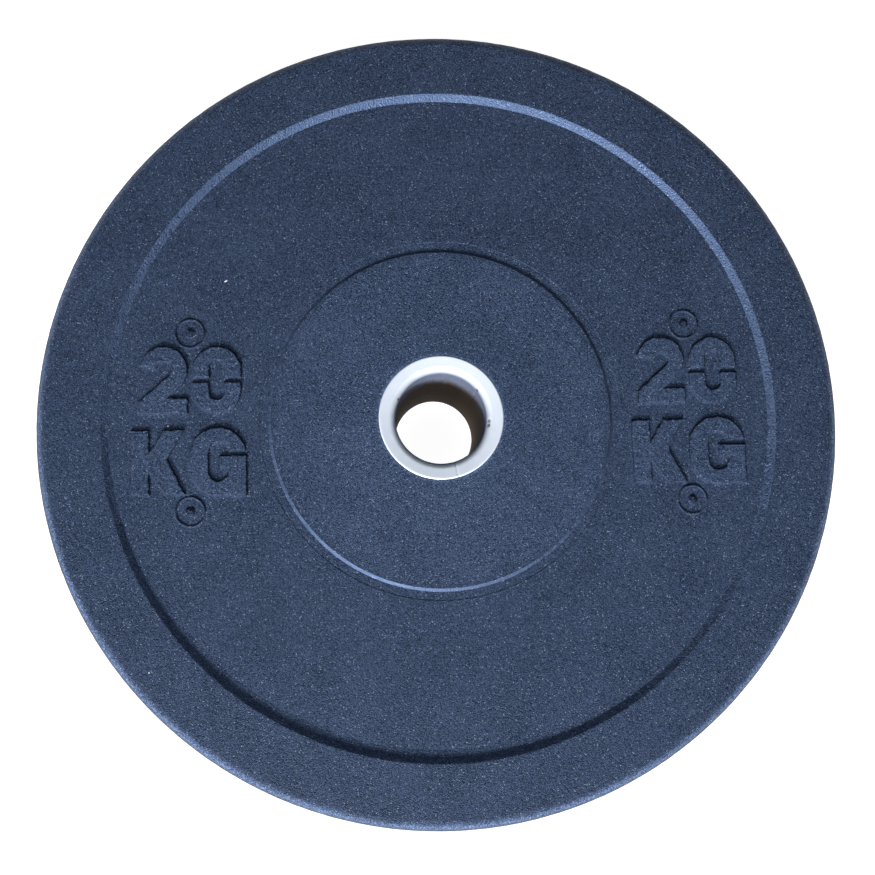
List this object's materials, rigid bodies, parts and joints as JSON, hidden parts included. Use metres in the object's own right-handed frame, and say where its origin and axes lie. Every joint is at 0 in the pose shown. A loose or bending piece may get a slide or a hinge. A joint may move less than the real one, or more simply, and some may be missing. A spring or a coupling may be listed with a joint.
{
  "type": "bumper plate",
  "caption": "Round rubber weight plate with a raised rim, a sunk floor, a raised boss and a flanged steel bore for a barbell sleeve.",
  "frame": {"origin": "on the bore's axis at the level of the lower rim face, which the plate rests on when it lies flat", "axes": "+Z up along the bore towards the pictured face; +X through the two screw-mark pairs, to the right in the picture; +Y up in the picture"},
  "size_m": [0.45, 0.45, 0.095],
  "materials": {
    "crumb_rubber": "matte moulded crumb with a fine pebbled grain",
    "sleeve_steel": "satin turned steel, darker and brownish in the bore",
    "anchor_steel": "plain mild steel plate, unseen inside the rubber"
  },
  "bodies": {
    "root": {"rubber_body": "crumb_rubber", "sleeve_front": "sleeve_steel", "sleeve_rear": "sleeve_steel", "anchor_plate": "anchor_steel"}
  },
  "joints": []
}
